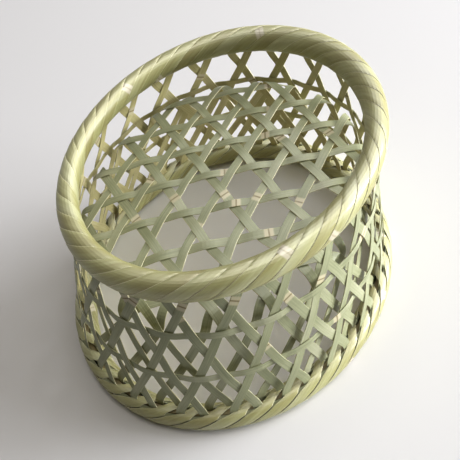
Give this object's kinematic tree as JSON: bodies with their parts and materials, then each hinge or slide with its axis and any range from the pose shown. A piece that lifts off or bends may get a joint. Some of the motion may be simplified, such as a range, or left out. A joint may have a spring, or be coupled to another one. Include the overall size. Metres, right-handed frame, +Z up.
{
  "type": "dish draining basket",
  "caption": "Round split-bamboo draining basket: open six-sided weave on a raised domed floor, slanting wall strips, lapped rim and a wider lapped foot ring.",
  "frame": {"origin": "bottom centre of the bounding box, on the surface that the foot ring rests on", "axes": "+Z up, front of the picture towards -Y, the rim leans towards +X"},
  "size_m": [0.2378, 0.2427, 0.1395],
  "materials": {
    "strip": "sage green bamboo skin, satin",
    "hoop": "green bamboo skin, satin",
    "core": "split bamboo, raw",
    "lap": "pale silky bamboo strip"
  },
  "bodies": {
    "root": {"strip_across_1": "strip", "strip_across_2": "strip", "strip_across_3": "strip", "strip_across_4": "strip", "strip_across_5": "strip", "strip_across_6": "strip", "strip_across_7": "strip", "strip_slant_left_1": "strip", "strip_slant_left_2": "strip", "strip_slant_left_3": "strip", "strip_slant_left_4": "strip", "strip_slant_left_5": "strip", "strip_slant_left_6": "strip", "strip_slant_left_7": "strip", "strip_slant_right_1": "strip", "strip_slant_right_2": "strip", "strip_slant_right_3": "strip", "strip_slant_right_4": "strip", "strip_slant_right_5": "strip", "strip_slant_right_6": "strip", "strip_slant_right_7": "strip", "lower_wall_hoop": "hoop", "upper_wall_hoop": "hoop", "rim_inner_hoop": "core", "rim_outer_hoop": "core", "foot_inner_hoop": "core", "foot_outer_hoop": "core", "foot_core_hoop": "core", "rim_lapping": "lap", "foot_lapping": "lap"}
  },
  "joints": []
}
